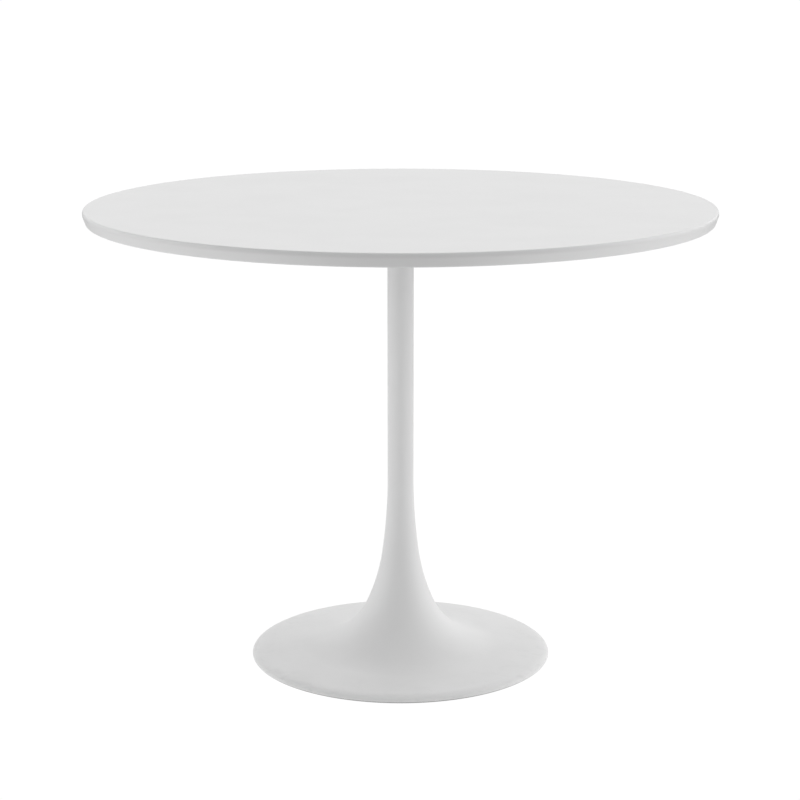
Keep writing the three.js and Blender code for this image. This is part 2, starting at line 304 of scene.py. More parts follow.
def pierced(inner, outer, circle, count, levels, reach=8, sides=6, rings=6):
    """A ring between two radii with round holes centred on a circle.

    Round each hole is a patch, reach segments to either side.  Every point of the patch's outline
    looks at the hole's centre, and the patch runs in straight lines from the hole's edge to the
    outline.  Plain sectors fill the ring between the patches.  levels lists (hole radius, height)
    rows, where height is a number or a function of radius: the face is at the first, and the wall
    of the hole follows the rest.
    """
    half = reach * TURN / SEGMENTS
    along, up = np.linspace(-half, half, 2 * reach + 1), np.linspace(inner, outer, sides + 1)
    radius = np.concatenate([
        np.full(2 * reach, inner), up[:-1], np.full(2 * reach, outer), up[:0:-1], [inner],
    ])
    angle = np.concatenate([
        along[:-1], np.full(sides, half), along[:0:-1], np.full(sides, -half), [-half],
    ])
    outline = np.stack([radius * np.cos(angle), radius * np.sin(angle)], 1)
    towards = outline - [circle, 0]
    towards /= np.linalg.norm(towards, axis=1, keepdims=True)

    def raised(flat, height):
        at = height(np.linalg.norm(flat, axis=-1)) if callable(height) else np.full(flat.shape[:-1], height)
        return np.concatenate([flat, at[..., None]], -1)

    rims = [(np.array([circle, 0]) + size * towards, height) for size, height in levels]
    share = np.linspace(0, 1, rings + 1)[:, None, None]
    face = raised((1 - share) * rims[0][0] + share * outline, levels[0][1])
    wall = np.stack([raised(rim, height) for rim, height in rims])
    rest = np.linspace(half, TURN / count - half, SEGMENTS // count - 2 * reach + 1)
    spokes = np.stack([np.cos(rest), np.sin(rest)], 1)
    plain = raised(up[:, None, None] * spokes, levels[0][1])
    angles = TURN * np.arange(count) / count
    return [*turned_to(face, angles), *turned_to(plain, angles), *turned_to(wall, angles)]


def threaded(crest, root, pitch, bottom, top, facets=SMALL_SEGMENTS, lead=1.0):
    """A screw thread: the radius falls from crest to root and back once in each pitch of rise, and
    that wave climbs one pitch in a turn.  It fades to the root over lead pitches at both ends."""
    height = np.linspace(bottom, top, int(round((top - bottom) / pitch * 10)) + 1)[:, None]
    angle = np.linspace(0, TURN, facets + 1)[None, :]
    phase = (height / pitch - angle / TURN) % 1
    steep, flat = 1.7, 0.25  # slope of the flanks, and how far the wave is cut off at the root
    tooth = np.clip(steep * (1 - np.abs(2 * phase - 1)) - flat, 0, 1)
    ends = np.clip(np.minimum(height - bottom, top - height) / (lead * pitch), 0, 1)
    return columns(root + (crest - root) * tooth * ends, height[:, 0])


def hexagon(flat, facets=SMALL_SEGMENTS):
    """Radius of a hexagon at each angle, flat being half the distance across its flats."""
    angle = np.linspace(0, TURN, facets + 1)
    return flat / np.cos((angle + np.pi / 6) % (np.pi / 3) - np.pi / 6)


# ------------------------------------------------------------------ meshes and pieces


def faces_of(rows, columns_, start):
    """Corner numbers of the faces between neighbouring points of a grid, numbered row by row."""
    index = np.arange(rows * columns_).reshape(rows, columns_) + start
    corners = (index[:-1, :-1], index[:-1, 1:], index[1:, 1:], index[1:, :-1])
    return np.stack(corners, -1).reshape(-1, 4)


def run_of(grid):
    """For each point, its share of the way across the grid, and how far it is down it in metres."""
    steps = np.linalg.norm(np.diff(grid, axis=0), axis=2).mean(1)
    down = np.concatenate([[0], np.cumsum(steps)])[:, None]
    across = np.linspace(0, 1, grid.shape[1])[None, :]
    return np.stack(np.broadcast_arrays(across, down), -1).reshape(-1, 2)


def mark_arrises(mesh):
    """How sharply the surface turns outwards at each vertex: 1 for a radius of 1 mm or less.

    Along an edge that is the change of the normal along the edge, over its length.  A vertex takes
    twice the mean of its edges, because the surface turns across an arris and not along it.
    """
    count = len(mesh.vertices)
    points = np.empty(count * 3, np.float32)
    mesh.vertices.foreach_get("co", points)
    normals = np.empty(count * 3, np.float32)
    mesh.vertex_normals.foreach_get("vector", normals)
    ends = np.empty(len(mesh.edges) * 2, np.int32)
    mesh.edges.foreach_get("vertices", ends)
    ends = ends.reshape(-1, 2)
    along = np.diff(points.reshape(-1, 3)[ends], axis=1)[:, 0]
    change = np.diff(normals.reshape(-1, 3)[ends], axis=1)[:, 0]
    turning = (along * change).sum(1) / (along**2).sum(1)
    total = np.bincount(ends.ravel(), np.repeat(turning, 2), minlength=count)
    edges = np.bincount(ends.ravel(), minlength=count)
    sharpness = np.clip(2 * total / edges * MM, 0, 1)
    mesh.attributes.new("arris", "FLOAT", "POINT").data.foreach_set("value", sharpness.astype(np.float32))


def solid(name, grids, smooth=35):
    """One closed mesh from grids that meet at their edges: doubles merged, faces turned outwards.

    Its UV map "run" holds the share of the way across each grid and the metres down it, and its
    attribute "arris" how sharp its outer edges are.
    """
    grids = [np.asarray(grid, float) for grid in grids]
    starts = np.cumsum([0] + [grid.shape[0] * grid.shape[1] for grid in grids[:-1]])
    points = np.concatenate([grid.reshape(-1, 3) for grid in grids])
    faces = np.concatenate([faces_of(*grid.shape[:2], start) for grid, start in zip(grids, starts)])
    mesh = bpy.data.meshes.new(name)
    mesh.from_pydata(points.tolist(), [], faces.tolist())
    runs = np.concatenate([run_of(grid) for grid in grids])
    mesh.uv_layers.new(name="run").data.foreach_set("uv", runs[faces].ravel().astype(np.float32))
    work = bmesh.new()
    work.from_mesh(mesh)
    bmesh.ops.remove_doubles(work, verts=work.verts, dist=SAME_POINT)
    bmesh.ops.dissolve_degenerate(work, edges=work.edges, dist=NO_LENGTH)
    loose = [vertex for vertex in work.verts if not vertex.link_faces]
    bmesh.ops.delete(work, geom=loose, context="VERTS")
    bmesh.ops.recalc_face_normals(work, faces=work.faces)
    open_ = [edge for edge in work.edges if not edge.is_manifold]
    if open_:
        raise ValueError(f"{name} is open along {len(open_)} edges, near {open_[0].verts[0].co[:]}")
    work.to_mesh(mesh)
    work.free()
    mesh.polygons.foreach_set("use_smooth", np.ones(len(mesh.polygons), bool))
    mark_arrises(mesh)
    mesh.set_sharp_from_angle(angle=np.radians(smooth))
    return mesh


def place(name, mesh, material, slot, node, body="root"):
    """A finished piece: its mesh stands for a CAD node and rides on that node's body."""
    piece = bpy.data.objects.new(name, mesh)
    bpy.context.scene.collection.objects.link(piece)
    mesh.materials.append(material)
    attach(piece, body)
    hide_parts(node)
    return piece


def place_each(stem, grids, material, slot, nodes, bodies=None):
    """One copy of a fixing, built about the axis, at the middle of each of its CAD nodes."""
    bodies = bodies or ["root"] * len(nodes)
    for number, (node, body) in enumerate(zip(nodes, bodies), 1):
        name = f"{stem}_{number}"
        place(name, solid(name, moved(grids, centre_of(node))), material, slot, node, body)


# ------------------------------------------------------------------ the pieces


def bevelled_edge(widest):
    """The edge of the top from its widest line down: a turn inwards, the bevel, and a turn under."""
    radius, lower_radius = BEVEL_ROUNDS
    upper = outer_arc((TOP_RADIUS - radius, widest), radius, 0, BEVEL_TURN, 6)
    centre_level = TOP_UNDERSIDE + lower_radius
    drop = upper[-1, 1] - centre_level + lower_radius * np.sin(BEVEL_TURN)
    inward = upper[-1, 0] - drop * np.tan(BEVEL_TURN) - lower_radius * np.cos(BEVEL_TURN)
    lower = outer_arc((inward, centre_level), lower_radius, BEVEL_TURN, np.pi / 2, 12)
    bevel = upper[-1] + (lower[0] - upper[-1]) * np.linspace(0, 1, 7)[:, None]
    return np.concatenate([upper, bevel[1:-1], lower])


def top_mesh():
    """The outline of face, rounded edge and underside turned about the axis; blind holes below."""
    widest = TOP_FACE - UPPER_EDGE[1]
    upper = quarter((TOP_RADIUS - UPPER_EDGE[0], widest), *UPPER_EDGE, 0, 16)
    lower = bevelled_edge(widest)
    face = level(0, upper[0, 0], TOP_FACE, 12)
    inner, outer = SCREW_CIRCLE - SCREW_REACH, SCREW_CIRCLE + SCREW_REACH
    below = level(lower[-1, 0], outer, TOP_UNDERSIDE, 8)
    middle = level(inner, 0, TOP_UNDERSIDE, 4)
    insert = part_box(INSERTS[0])
    hole, end = (insert[1].y - insert[0].y) / 2 + FIT, insert[1].z + FIT
    levels = [(hole, TOP_UNDERSIDE), (hole, end), (0, end)]
    holes = pierced(inner, outer, SCREW_CIRCLE, len(SCREWS), levels)
    outside = eased(np.concatenate([face, upper[1:], lower[1:], below[1:]]))
    return solid("tabletop_lacquered", [turned(outside), turned(middle), *holes])


def plate_mesh():
    """A disc with a rounded edge; both its faces and the chamfered walls of its holes are pierced rings."""
    low, high, chamfer = PLATE_UNDERSIDE, TOP_UNDERSIDE, 0.4 * MM
    inner, outer = SCREW_CIRCLE - PLATE_REACH, SCREW_CIRCLE + PLATE_REACH
    wide = SCREW_HOLE + chamfer
    wall = [(wide, low), (SCREW_HOLE, low + chamfer), (SCREW_HOLE, high - chamfer), (wide, high)]
    edge = filleted([
        (outer, low, 0),
        (PLATE_RADIUS, low, 0.6 * MM),
        (PLATE_RADIUS, high, 0.6 * MM),
        (outer, high, 0),
    ])
    return solid("top_plate", [
        turned(level(0, inner, low, 4)),
        turned(level(0, inner, high, 4)),
        turned(edge),
        *pierced(inner, outer, SCREW_CIRCLE, len(SCREWS), wall),
        *pierced(inner, outer, SCREW_CIRCLE, len(SCREWS), [(wide, high)]),
    ])


def hub_mesh():
    """A thick ring turned about the axis, its lower corners chamfered to enter the column."""
    bore = ROD_RADIUS + THREAD_FIT
    return solid("column_spigot", [turned(filleted([
        (bore, PLATE_UNDERSIDE - 1 * MM, 0),
        (bore, HUB_BOTTOM + 1 * MM, 0),
        (bore + 1 * MM, HUB_BOTTOM, 0),
        (HUB_RADIUS - 1.5 * MM, HUB_BOTTOM, 0.2 * MM),
        (HUB_RADIUS, HUB_BOTTOM + 1.5 * MM, 0.4 * MM),
        (HUB_RADIUS, PLATE_UNDERSIDE, 0.2 * MM),
        (bore, PLATE_UNDERSIDE, 0.2 * MM),
        (bore, PLATE_UNDERSIDE - 1 * MM, 0),
    ]), 96)])


def column_mesh():
    """A tube wall turned about the axis, its top corners broken by small fillets."""
    bore, broken = COLUMN_RADIUS - WALL, 0.3 * MM
    heights = np.linspace(NECK_LEVEL, COLUMN_TOP - 4 * MM, 22)
    outside = np.stack([np.full(22, COLUMN_RADIUS), heights], 1)
    top = filleted([
        (COLUMN_RADIUS, COLUMN_TOP - 4 * MM, 0),
        (COLUMN_RADIUS, COLUMN_TOP, broken),
        (bore, COLUMN_TOP, broken),
        (bore, NECK_LEVEL, 0),
        (COLUMN_RADIUS, NECK_LEVEL, 0),
    ])
    return solid("column", [turned(np.concatenate([outside, top[1:]]))])


def base_mesh():
    """The flare's line outside and, a wall inside it, underneath, joined by a rounded rim."""
    outside, inside = shell_line(0), shell_line(WALL)
    rim = filleted([
        (*outside[-1], 0),
        (BASE_RADIUS, RIM_LEVEL, 0.5 * MM),
        (BASE_RADIUS - WALL, RIM_LEVEL, 0.5 * MM),
        (*inside[-1], 0),
    ])
    closed = np.concatenate([outside, rim[1:], inside[::-1][1:], outside[:1]])
    return solid("flared_foot", [turned(closed)])


def casting_mesh():
    """The disc's filling: its upper line follows the shell, and six holes run up to its slope."""
    crown = foot_line(WALL + FIT, BOSS_TURN, 18)
    disc_end = shoulder_line(WALL + FIT, 1)[0]
    count = len(GLIDE_PADS)
    inner, outer = GLIDE_CIRCLE - GLIDE_REACH, GLIDE_CIRCLE + GLIDE_REACH

    def slope(radius):
        return np.interp(radius, [crown[-1, 0], disc_end[0]], [crown[-1, 1], disc_end[1]])

    rim = filleted([
        (outer, CASTING_UNDERSIDE, 0),
        (disc_end[0], CASTING_UNDERSIDE, 1.2 * MM),
        (*disc_end, 1 * MM),
        (outer, slope(outer), 0),
    ])
    middle = filleted([
        (inner, slope(inner), 0),
        *((*point, 0) for point in crown[:0:-1]),
        (*crown[0], 2 * MM),
        (ROD_HOLE, BOSS_LEVEL, 0.6 * MM),
        (ROD_HOLE, NUT_POCKET[1], 0.4 * MM),
        (NUT_POCKET[0], NUT_POCKET[1], 1 * MM),
        (NUT_POCKET[0], CASTING_UNDERSIDE, 0.8 * MM),
        (inner, CASTING_UNDERSIDE, 0),
    ])
    return solid("ballast", [
        turned(rim),
        turned(middle),
        *pierced(inner, outer, GLIDE_CIRCLE, count, [(STUD_HOLE, CASTING_UNDERSIDE), (STUD_HOLE, slope)]),
        *pierced(inner, outer, GLIDE_CIRCLE, count, [(STUD_HOLE, slope)]),
    ])


def rod_mesh():
    """A plain round bar, threaded at both ends, where it steps down to the root of the thread."""
    _, root, _ = ROD_THREAD
    step, tip = 0.8 * MM, 0.4 * MM
    lower, upper = ROD_BOTTOM + ROD_THREAD_LENGTH, ROD_TOP - ROD_THREAD_LENGTH
    start = [(0, ROD_BOTTOM), (root - tip, ROD_BOTTOM)]
    shank = np.stack([np.full(12, ROD_RADIUS), np.linspace(lower + step, upper - step, 12)], 1)
    end = [(root - tip, ROD_TOP), (0, ROD_TOP)]
    return solid("clamp_rod", [np.concatenate([
        turned(start, SMALL_SEGMENTS),
        threaded(*ROD_THREAD, ROD_BOTTOM + tip, lower),
        turned(shank, SMALL_SEGMENTS),
        threaded(*ROD_THREAD, upper, ROD_TOP - tip),
        turned(end, SMALL_SEGMENTS),
    ])])


def split_ring_mesh():
    """A rounded section carried round an arc that stops short of a slit with parallel sides."""
    low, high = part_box("spring_washer")
    line = section(ROD_HOLE, high.y, low.z, high.z, 0.35 * MM)
    gap = np.arcsin(SLIT / 2 / line[:, :1])
    angle = gap + (TURN - 2 * gap) * np.linspace(0, 1, 65)
    radius, height = line[:, :1], line[:, 1:]
    ring = np.stack(np.broadcast_arrays(radius * np.cos(angle), radius * np.sin(angle), height), -1)
    faces = ring[:, 0], ring[:, -1]
    ends = [np.stack([np.broadcast_to(face.mean(0), face.shape), face]) for face in faces]
    return solid("split_washer", [ring, *ends])


def nut_mesh():
    """A hexagon cut back by a cone at both ends, with a chamfered bore."""
    low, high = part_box("clamp_nut")
    facets, bore, chamfer = 144, ROD_RADIUS + THREAD_FIT, 0.6 * MM
    flats = hexagon(NUT_FLAT, facets)
    rise = np.linspace(0, 1.1 * MM, 16)
    height = np.concatenate([low.z + rise, high.z - rise[::-1]])
    cone = NUT_CONE * NUT_FLAT + np.sqrt(3) * np.minimum(height - low.z, high.z - height)
    sides = columns(np.minimum(flats[None, :], cone[:, None]), height)
    above = turned([(bore + chamfer, high.z), (bore, high.z - chamfer)], facets)
    below = turned([(bore, low.z + chamfer), (bore + chamfer, low.z)], facets)
    return solid("hexagon_nut", [np.concatenate([sides, above, below, sides[:1]])], smooth=25)


def ring_grid(node, bore, round_):
    """A flat ring with rounded corners, as tall and as wide as a CAD node."""
    low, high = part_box(node)
    return turned(section(bore, (high.y - low.y) / 2, low.z, high.z, round_), SMALL_SEGMENTS)


def screw_grid():
    """Hexagonal socket, domed head and threaded shank in one run from the socket's floor to the tip."""
    crown, tip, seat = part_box(SCREWS[0])[0].z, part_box(SCREWS[0])[1].z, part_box(WASHERS[0])[0].z
    flat, deep = SCREW_KEY
    _, root, _ = SCREW_THREAD
    mouth = np.full(SMALL_SEGMENTS + 1, 1.25 * flat)
    socket = np.stack([hexagon(flat * 0.5), hexagon(flat), hexagon(flat), mouth])
    depths = crown + np.array([deep + 0.2 * MM, deep, 0.25 * MM, 0])
    dome = quarter((SCREW_CROWN, seat), SCREW_HEAD - SCREW_CROWN, crown - seat, 0, 12)
    head = filleted([*((*point, 0) for point in dome[:-1]), (*dome[-1], 0.15 * MM), (root, seat, 0)])
    return np.concatenate([
        turned([(0, crown + deep + 0.4 * MM)], SMALL_SEGMENTS),
        columns(socket, depths),
        turned(head, SMALL_SEGMENTS),
        threaded(*SCREW_THREAD, seat + 0.05 * MM, tip - 0.4 * MM),
        turned([(root - 0.4 * MM, tip), (0, tip)], SMALL_SEGMENTS),
    ])


def insert_grid():
    """A coarse thread outside; inside, a hexagonal mouth for the driving key and a plain bore."""
    low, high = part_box(INSERTS[0])
    flat, deep = INSERT_KEY
    _, root, _ = INSERT_THREAD
    mouth = np.stack([hexagon(flat + 0.2 * MM), hexagon(flat), hexagon(flat)])
    chamfer = 0.3 * MM
    inside = columns(mouth, low.z + np.array([0, chamfer, deep]))
    bore = turned([
        (INSERT_BORE, low.z + deep),
        (INSERT_BORE, high.z - chamfer),
        (INSERT_BORE + chamfer, high.z),
        (root - 0.2 * MM, high.z),
    ], SMALL_SEGMENTS)
    outside = threaded(*INSERT_THREAD, low.z + 0.2 * MM, high.z - 0.2 * MM)[::-1]
    rim = turned([(root, low.z)], SMALL_SEGMENTS)
    return np.concatenate([inside, bore, outside, rim, inside[:1]])


def pad_grid():
    """A fluted disc: its side's radius ripples with the angle; hollow sole, blind socket above."""
    low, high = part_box(GLIDE_PADS[0])
    radius, facets, chamfer = (high.y - low.y) / 2, 4 * SMALL_SEGMENTS, 1 * MM
    hollow, slope_end, sole = PAD_HOLLOW
    angle = np.linspace(0, TURN, facets + 1)
    flutes = 0.25 * MM * (1 - np.cos(SMALL_SEGMENTS * angle)) / 2
    heights = np.array([chamfer, chamfer + 0.3 * MM, high.z - 0.7 * MM, high.z - 0.4 * MM])
    depth = np.array([0, 1, 1, 0])[:, None]
    side = columns(radius - depth * flutes, heights)
    socket = STUD_HOLE - THREAD_FIT
    under = [(0, sole), (hollow, sole), (slope_end, 0), (radius - chamfer, 0)]
    over = [
        (radius - 0.4 * MM, high.z),
        (socket + 0.3 * MM, high.z),
        (socket, high.z - 0.3 * MM),
        (socket, PAD_SOCKET_FLOOR),
        (0, PAD_SOCKET_FLOOR),
    ]
    return np.concatenate([turned(under, facets), side, turned(over, facets)])


def stud_grid():
    """A set screw: threaded from end to end, with chamfered ends."""
    low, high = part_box(GLIDE_STUDS[0])
    _, root, _ = STUD_THREAD
    tip = root - 0.3 * MM
    return np.concatenate([
        turned([(0, low.z), (tip, low.z)], SMALL_SEGMENTS),
        threaded(*STUD_THREAD, low.z + 0.3 * MM, high.z - 0.3 * MM),
        turned([(tip, high.z), (0, high.z)], SMALL_SEGMENTS),
    ])


# ------------------------------------------------------------------ shader nodes


def add(tree, kind, inputs=(), **settings):
    """A node with its settings made, and each input set to a value or linked to a socket."""
    node = tree.nodes.new(f"ShaderNode{kind}")
    for key, value in settings.items():
        setattr(node, key, value)
    for key, value in dict(inputs).items():
        if isinstance(value, bpy.types.NodeSocket):
            tree.links.new(value, node.inputs[key])
        else:
            node.inputs[key].default_value = value
    return node


def calc(tree, operation, *values):
    """The result of a sum on numbers or sockets."""
    return add(tree, "Math", enumerate(values), operation=operation).outputs[0]


def between(tree, value, low, high, out_low=0.0, out_high=1.0, kind="SMOOTHSTEP"):
    """A value carried from one range to another, and held at its ends."""
    ends = {"Value": value, "From Min": low, "From Max": high, "To Min": out_low, "To Max": out_high}
    return add(tree, "MapRange", ends, interpolation_type=kind).outputs["Result"]


def clouds(tree, vector, size, detail=2.0, distortion=0.0):
    """Soft noise whose lumps are about one size across, in metres."""
    scaled = add(tree, "VectorMath", {0: vector, 3: calc(tree, "DIVIDE", 1.0, size)}, operation="SCALE")
    inputs = {"Vector": scaled.outputs[0], "Scale": 1.0, "Detail": detail, "Distortion": distortion}
    return add(tree, "TexNoise", inputs).outputs[0]


def new_group(name, inputs, outputs):
    """A shader group: its tree, the sockets that bring values in, and those that take them out."""
    tree = bpy.data.node_groups.new(name, "ShaderNodeTree")
    for socket, kind in inputs.items():
        tree.interface.new_socket(socket, in_out="INPUT", socket_type=f"NodeSocket{kind}")
    for socket in outputs:
        tree.interface.new_socket(socket, in_out="OUTPUT", socket_type="NodeSocketFloat")
    return tree, tree.nodes.new("NodeGroupInput").outputs, tree.nodes.new("NodeGroupOutput").inputs


def use(tree, group, inputs):
    """A group placed in a material with its own values; returns its outputs."""
    return add(tree, "Group", inputs, node_tree=group).outputs


def sprayed_skin_group():
    """The fine peel of a coating, as a height, and slow uneven patches, as a value around a half."""
    tree, into, out = new_group(
        "sprayed_skin", {"Vector": "Vector", "Grain": "Float", "Patch": "Float"}, ["Height", "Patches"]
    )
    tree.links.new(clouds(tree, into["Vector"], into["Grain"], 1.5), out["Height"])
    patches = clouds(tree, into["Vector"], into["Patch"], 3.0)
    tree.links.new(between(tree, patches, 0.3, 0.7, kind="LINEAR"), out["Patches"])
    return tree


def handling_marks_group():
    """Hairlines, which are thin contours of a stretched noise, broken up; and broad wiped smears."""
    tree, into, out = new_group(
        "handling_marks", {"Vector": "Vector", "Size": "Float"}, ["Hairlines", "Smears"]
    )
    lines = 0.0
    for turn, stretch in ((0.45, (1.0, 0.12, 1.0)), (2.2, (0.16, 1.0, 1.0))):
        inputs = {"Vector": into["Vector"], "Rotation": (0, 0, turn), "Scale": stretch}
        mapped = add(tree, "Mapping", inputs)
        ripple = clouds(tree, mapped.outputs[0], calc(tree, "MULTIPLY", into["Size"], 0.08))
        nearness = calc(tree, "ABSOLUTE", calc(tree, "SUBTRACT", ripple, 0.5))
        thin = between(tree, nearness, 0.0, 0.006, 1.0, 0.0)
        broken = between(tree, clouds(tree, mapped.outputs[0], into["Size"]), 0.52, 0.6)
        lines = calc(tree, "ADD", calc(tree, "MULTIPLY", thin, broken), lines)
    tree.links.new(calc(tree, "MINIMUM", lines, 1.0), out["Hairlines"])
    smears = clouds(tree, into["Vector"], into["Size"], 3.0, 1.2)
    tree.links.new(between(tree, smears, 0.45, 0.7), out["Smears"])
    return tree


def edge_wear_group():
    """Where an outer edge is rubbed: its sharpness, thinned out by noise."""
    tree, into, out = new_group(
        "edge_wear", {"Vector": "Vector", "Arris": "Float", "Size": "Float"}, ["Wear"]
    )
    rubbed = calc(tree, "MULTIPLY", into["Arris"], clouds(tree, into["Vector"], into["Size"], 4.0))
    tree.links.new(between(tree, rubbed, 0.22, 0.5), out["Wear"])
    return tree


def settled_dust_group():
    """Fine dust on what faces up: the slope, times soft drifts, plus scattered specks."""
    tree, into, out = new_group("settled_dust", {"Vector": "Vector", "Size": "Float"}, ["Dust"])
    normal = add(tree, "NewGeometry").outputs["Normal"]
    upward = between(tree, add(tree, "SeparateXYZ", {0: normal}).outputs["Z"], 0.6, 1.0)
    drifts = between(tree, clouds(tree, into["Vector"], into["Size"], 4.0), 0.35, 0.75)
    specks = between(tree, clouds(tree, into["Vector"], 0.0016, 0.0), 0.7, 0.78)
    amount = calc(tree, "ADD", drifts, specks)
    tree.links.new(calc(tree, "MULTIPLY", upward, amount), out["Dust"])
    return tree


def turned_marks_group():
    """Fine rings left by a lathe: noise that changes only along the run of the surface."""
    tree, into, out = new_group("turned_marks", {"Run": "Float", "Size": "Float"}, ["Rings"])
    inputs = {"W": calc(tree, "DIVIDE", into["Run"], into["Size"]), "Scale": 1.0, "Detail": 3.0}
    tree.links.new(add(tree, "TexNoise", inputs, noise_dimensions="1D").outputs[0], out["Rings"])
    return tree


# ------------------------------------------------------------------ finishes


def mixed(tree, share, first, second):
    """A colour part of the way from the first to the second; either may be a grey, a colour or a socket."""
    ends = {}
    for key, colour in ((6, first), (7, second)):
        grey = isinstance(colour, float)
        ends[key] = (colour, colour, colour, 1) if grey else colour
    return add(tree, "Mix", {0: share, **ends}, data_type="RGBA").outputs[2]


def tinted(tree, color, parts):
    """A colour with more laid over it: each value times its weight is the share of that tint."""
    for value, weight, tint in parts:
        color = mixed(tree, calc(tree, "MULTIPLY", value, weight), color, tint)
    return color


def total(tree, start, parts):
    """A number plus each value times its weight."""
    for value, weight in parts:
        start = calc(tree, "MULTIPLY_ADD", value, weight, start)
    return start


def relief(tree, parts):
    """A bumped normal: each height, 0 to 1, stands so many metres high."""
    normal = None
    for height, distance in parts:
        inputs = {"Height": height, "Distance": distance, "Strength": 1.0}
        if normal:
            inputs["Normal"] = normal
        normal = add(tree, "Bump", inputs).outputs["Normal"]
    return normal


def finish(name, metallic=0.0):
    """A new material: its tree, its shader's inputs, and the place of a point on the piece."""
    material = bpy.data.materials.new(name)
    material.use_nodes = True
    tree = material.node_tree
    shader = tree.nodes["Principled BSDF"].inputs
    shader["Metallic"].default_value = metallic
    return material, tree, shader, add(tree, "TexCoord").outputs["Object"]


def feed(tree, shader, color, roughness, normal):
    """The patterned inputs of a material's shader."""
    tree.links.new(color, shader["Base Color"])
    tree.links.new(roughness, shader["Roughness"])
    tree.links.new(normal, shader["Normal"])


SPRAYED_SKIN = sprayed_skin_group()
HANDLING_MARKS = handling_marks_group()
EDGE_WEAR = edge_wear_group()
SETTLED_DUST = settled_dust_group()
TURNED_MARKS = turned_marks_group()


def skin_of(tree, place_, grain, patch):
    """Heights and patches of a sprayed skin."""
    return use(tree, SPRAYED_SKIN, {"Vector": place_, "Grain": grain, "Patch": patch})


def wear_of(tree, place_, size):
    """Rubbed places, from the sharpness of outer edges that each mesh carries."""
    arris = add(tree, "Attribute", attribute_name="arris").outputs["Fac"]
    return use(tree, EDGE_WEAR, {"Vector": place_, "Arris": arris, "Size": size})["Wear"]


def rings_of(tree, size):
    """Lathe rings, from the metres along the outline that the UV map of each mesh holds."""
    run = add(tree, "SeparateXYZ", {0: add(tree, "UVMap", uv_map="run").outputs[0]}).outputs["Y"]
    return use(tree, TURNED_MARKS, {"Run": run, "Size": size})["Rings"]


def white_lacquer():
    """Satin lacquer on fibreboard: a faint peel, wiped smears, hairlines and a trace of dust."""
    material, tree, shader, place_ = finish("white_lacquer")
    skin = skin_of(tree, place_, 2.4 * MM, 0.16)
    marks = use(tree, HANDLING_MARKS, {"Vector": place_, "Size": 0.11})
    dust = use(tree, SETTLED_DUST, {"Vector": place_, "Size": 0.09})["Dust"]
    wear = wear_of(tree, place_, 0.012)
    color = mixed(tree, skin["Patches"], 0.772, 0.782)
    color = tinted(tree, color, [(marks["Hairlines"], 0.12, 0.7), (dust, 0.06, 0.66), (wear, 0.2, 0.72)])
    parts = [(skin["Patches"], 0.02), (marks["Smears"], 0.015), (marks["Hairlines"], 0.08), (dust, 0.04)]
    roughness = total(tree, 0.36, parts)
    normal = relief(tree, [(skin["Height"], 0.006 * MM), (marks["Hairlines"], -0.002 * MM)])
    feed(tree, shader, color, roughness, normal)
    return material


def white_powder_coat():
    """Satin powder coat on steel: a fine even texture, rubbed edges, and scuffs close to the floor."""
    material, tree, shader, place_ = finish("white_powder_coat")
    skin = skin_of(tree, place_, 1.1 * MM, 0.12)
    marks = use(tree, HANDLING_MARKS, {"Vector": place_, "Size": 0.07})
    dust = use(tree, SETTLED_DUST, {"Vector": place_, "Size": 0.06})["Dust"]
    wear = wear_of(tree, place_, 0.006)
    height = add(tree, "SeparateXYZ", {0: place_}).outputs["Z"]
    low_down = between(tree, height, 5 * MM, 16 * MM, 1.0, 0.0)
    blotches = between(tree, clouds(tree, place_, 0.022, 4.0, 0.8), 0.52, 0.68)
    scuffs = calc(tree, "MULTIPLY", low_down, blotches)
    color = mixed(tree, skin["Patches"], 0.766, 0.784)
    color = tinted(tree, color, [
        (marks["Hairlines"], 0.1, 0.68),
        (dust, 0.1, 0.62),
        (scuffs, 0.25, 0.6),
        (wear, 0.3, 0.64),
    ])
    parts = [(skin["Patches"], 0.04), (marks["Smears"], 0.04), (scuffs, 0.08), (dust, 0.08), (wear, -0.06)]
    roughness = total(tree, 0.44, parts)
    normal = relief(tree, [(skin["Height"], 0.014 * MM), (marks["Hairlines"], -0.003 * MM)])
    feed(tree, shader, color, roughness, normal)
    return material


def casting_paint():
    """Black paint over sand-cast iron: coarse sand, fine grain, and iron showing along the edges."""
    material, tree, shader, place_ = finish("casting_paint")
    skin = skin_of(tree, place_, 0.7 * MM, 0.03)
    wear = wear_of(tree, place_, 0.004)
    sand = clouds(tree, place_, 2.6 * MM, 5.0)
    pits = between(tree, clouds(tree, place_, 6 * MM, 2.0), 0.66, 0.74)
    color = mixed(tree, skin["Patches"], 0.018, 0.032)
    color = tinted(tree, color, [(pits, 0.6, 0.01), (wear, 0.8, (0.13, 0.12, 0.115, 1))])
    roughness = total(tree, 0.66, [(sand, 0.2), (wear, -0.2)])
    normal = relief(tree, [(sand, 0.35 * MM), (pits, -0.25 * MM), (skin["Height"], 0.05 * MM)])
    feed(tree, shader, color, roughness, normal)
    return material


def zinc_plate():
    """Bright zinc on steel: clouded bluish and straw tints, lathe rings, dull rubbed patches."""
    material, tree, shader, place_ = finish("zinc_plate", metallic=1.0)
    skin = skin_of(tree, place_, 0.5 * MM, 9 * MM)
    rings = rings_of(tree, 0.16 * MM)
    wear = wear_of(tree, place_, 1.5 * MM)
    color = mixed(tree, skin["Patches"], (0.62, 0.65, 0.69, 1), (0.72, 0.7, 0.63, 1))
    color = tinted(tree, color, [(rings, 0.15, 0.5), (wear, 0.4, 0.8)])
    roughness = total(tree, 0.24, [(rings, 0.14), (skin["Patches"], 0.1), (wear, -0.08)])
    normal = relief(tree, [(rings, 0.008 * MM), (skin["Height"], 0.003 * MM)])
    feed(tree, shader, color, roughness, normal)
    return material


